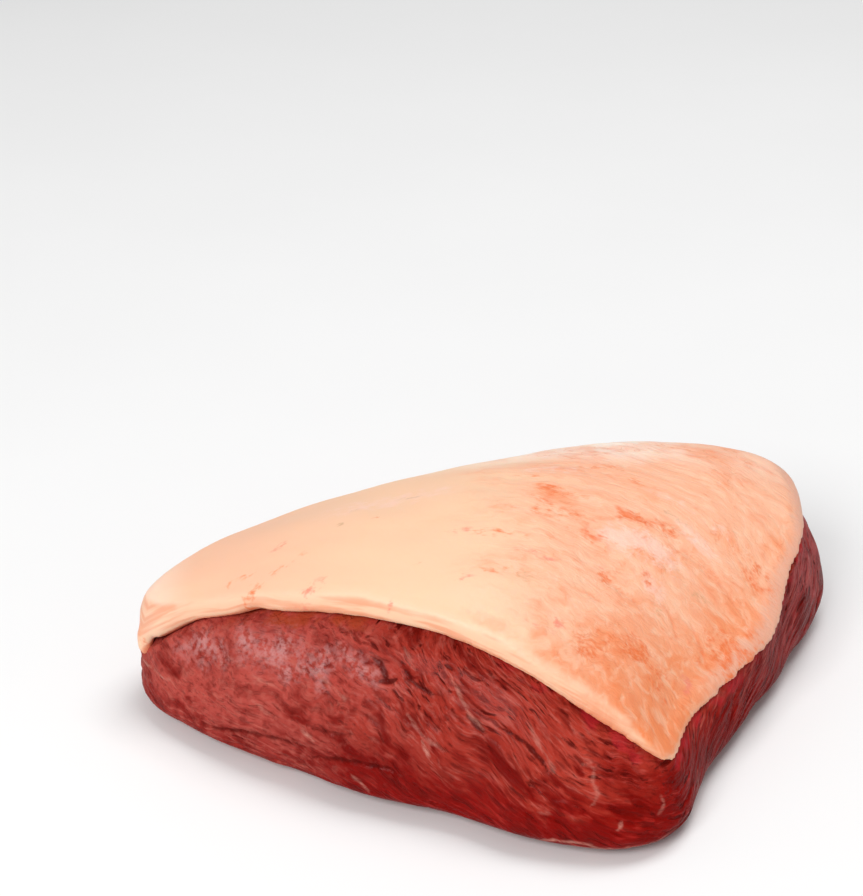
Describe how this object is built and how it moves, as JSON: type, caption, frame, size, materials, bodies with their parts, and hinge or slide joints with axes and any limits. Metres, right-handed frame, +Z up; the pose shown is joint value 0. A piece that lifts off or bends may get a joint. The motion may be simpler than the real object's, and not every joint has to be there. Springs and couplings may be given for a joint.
{
  "type": "raw picanha",
  "caption": "Raw picanha, a rounded triangular cap of beef rump with a layer of fat over its whole top, for kitchen, butchery and grilling scenes.",
  "frame": {"origin": "under the middle of the cut, on the surface that it lies on", "axes": "+X from the blunt tip to the broad end, +Y from the near side to the far side, +Z up through the fat cap"},
  "size_m": [0.2554, 0.1828, 0.0764],
  "materials": {
    "lean": null,
    "fat": null
  },
  "bodies": {
    "root": {"lean": "lean", "fat_cap": "fat"}
  },
  "joints": []
}
